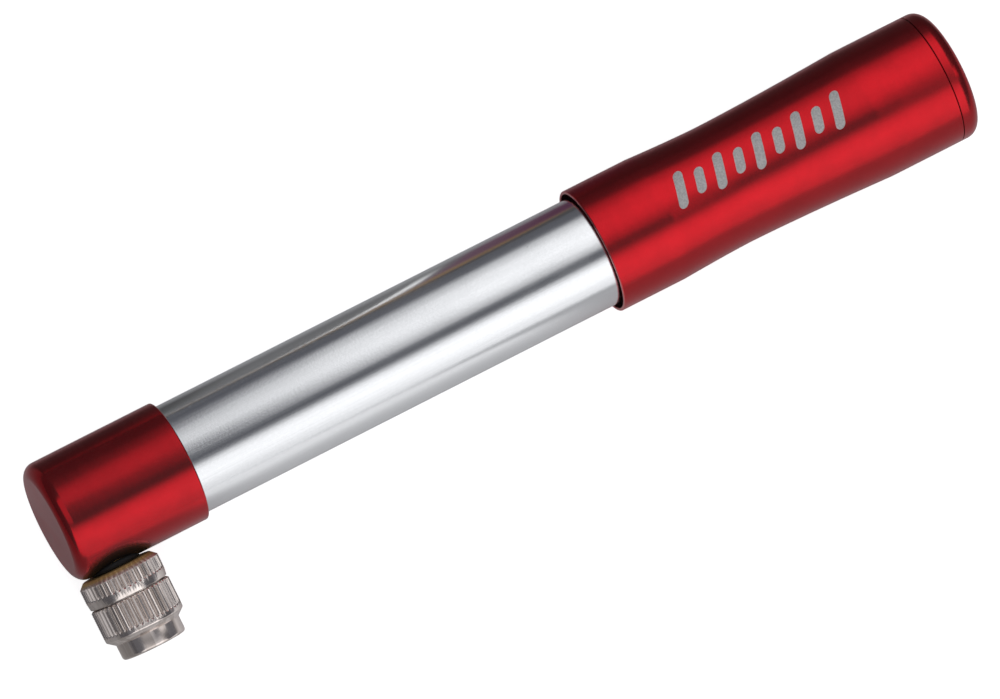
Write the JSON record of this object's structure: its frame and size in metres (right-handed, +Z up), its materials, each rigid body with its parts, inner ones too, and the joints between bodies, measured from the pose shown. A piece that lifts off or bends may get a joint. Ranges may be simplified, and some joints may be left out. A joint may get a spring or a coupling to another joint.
{
  "type": "mini pump",
  "caption": "Slim hand pump for bicycle tyres, with a round head, a knurled screw-on chuck at its side, a plain barrel and a waisted sliding handle.",
  "frame": {"origin": "centre of the head's flat end face, on the barrel's centreline", "axes": "+X along the barrel's centreline, from the head to the handle; +Z up with the pump lying on its side, resting on its handle with the edge of its chuck just clear; the chuck points to -Y and droops 11.87 degrees"},
  "size_m": [0.1851, 0.0406, 0.025],
  "materials": {
    "red_anodised": "red anodised, fine satin",
    "polished_aluminium": "polished tube with faint draw lines",
    "rod_aluminium": "ground",
    "nickel_plate": "nickel-plated brass, knurled",
    "brass": "turned",
    "steel": "zinc-plated",
    "black_acetal": "moulded, satin",
    "grey_nylon": "moulded, matte",
    "black_rubber": "moulded, matte",
    "felt": "pressed, oiled"
  },
  "bodies": {
    "pump_body": {"head_shell": "red_anodised", "barrel": "polished_aluminium", "barrel_gasket": "black_rubber", "guide_bush": "black_acetal", "rod_wiper": "felt", "chuck_base": "nickel_plate", "stem_o_ring": "black_rubber", "check_valve_seat": "brass", "check_valve_spring": "steel"},
    "piston_rod": {"piston": "black_acetal", "piston_washer": "steel", "piston_screw": "steel", "stop_bumper": "black_rubber", "piston_rod": "rod_aluminium", "rod_collar": "steel", "rod_washer": "steel", "rod_screw": "steel"},
    "piston_ring": {"piston_o_ring": "black_rubber"},
    "handle": {"handle_sleeve": "red_anodised", "handle_cap": "red_anodised", "handle_plug": "black_acetal", "closing_bumper": "black_rubber"},
    "check_valve": {"check_valve_disc": "black_rubber", "check_valve_poppet": "grey_nylon"},
    "valve_seal": {"valve_seal": "black_rubber", "valve_pin": "brass"},
    "chuck_cap": {"chuck_cap": "nickel_plate"}
  },
  "joints": [
    {"name": "handle_slide", "type": "slide", "parent": "pump_body", "child": "piston_rod", "axis": [1, 0, 0], "range_m": [0, 0.125]},
    {"name": "handle_spin", "type": "hinge", "parent": "piston_rod", "child": "handle", "pos_m": [0.175, 0, 0], "axis": [1, 0, 0], "continuous": true},
    {"name": "ring_float", "type": "slide", "parent": "piston_rod", "child": "piston_ring", "axis": [1, 0, 0], "range_m": [-0.0009, 0]},
    {"name": "check_valve_lift", "type": "slide", "parent": "pump_body", "child": "check_valve", "axis": [0, -0.9786, -0.2057], "range_m": [0, 0.0009], "stiffness_N_per_m": 100, "springref_m": -0.003, "deforming": ["check_valve_spring"]},
    {"name": "cap_travel", "type": "slide", "parent": "pump_body", "child": "valve_seal", "axis": [0, -0.9786, -0.2057], "range_m": [0, 0.002]},
    {"name": "cap_turn", "type": "hinge", "parent": "valve_seal", "child": "chuck_cap", "pos_m": [0.00754, -0.01957, -0.00411], "axis": [0, -0.9786, -0.2057], "range_deg": [0, 720]}
  ],
  "couplings": [
    {"joint": "cap_travel", "follows": "cap_turn", "m_per_rad": 0.00015915}
  ]
}
